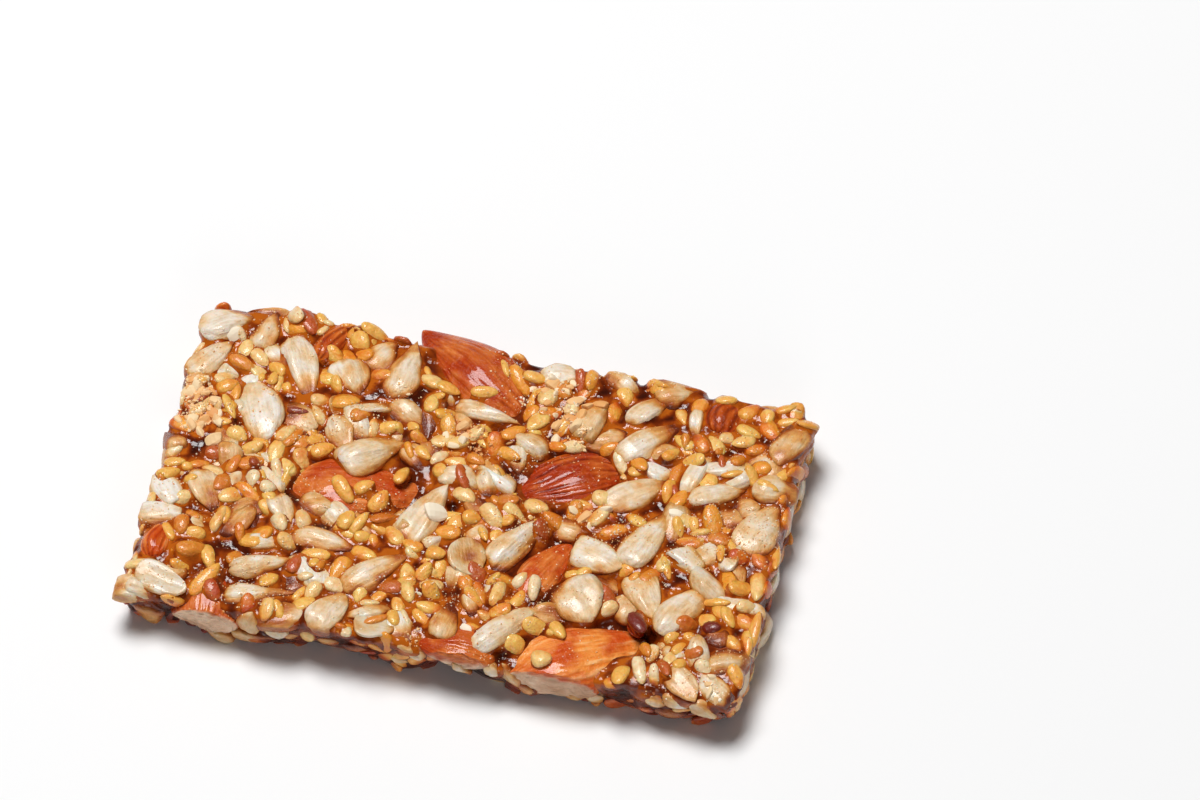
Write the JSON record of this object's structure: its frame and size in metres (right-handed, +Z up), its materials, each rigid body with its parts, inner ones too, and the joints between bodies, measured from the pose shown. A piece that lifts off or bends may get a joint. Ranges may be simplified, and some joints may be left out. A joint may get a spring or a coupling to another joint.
{
  "type": "granola bar",
  "caption": "Flat rectangular seed and nut brittle bar, sunflower kernels, sesame and almonds set in hard caramel, with knife-cut sides.",
  "frame": {"origin": "middle of the bar's flat underside, where it rests", "axes": "+X along the bar's length, +Y across it towards the side with the almond that sticks out, +Z up through its thickness"},
  "size_m": [0.0813, 0.0516, 0.0086],
  "materials": {
    "caramel": "hard clear amber-brown caramel that binds the seeds, wet gloss",
    "sunflower_kernel": "pale grey-cream hulled sunflower kernels, satin with amber stains of caramel",
    "sesame": "golden toasted sesame seeds under a thin caramel film",
    "almond": "wrinkled red-brown almond skins under glossy caramel, pale where they are cut",
    "crumb": "dry pale crumbs of nut and seed"
  },
  "bodies": {
    "root": {"bar": "caramel", "almond_back": "almond", "almond_left": "almond", "almond_centre": "almond", "almond_sliver": "almond", "almond_front": "almond", "almond_corner": "almond", "almond_edge": "almond"}
  },
  "joints": []
}
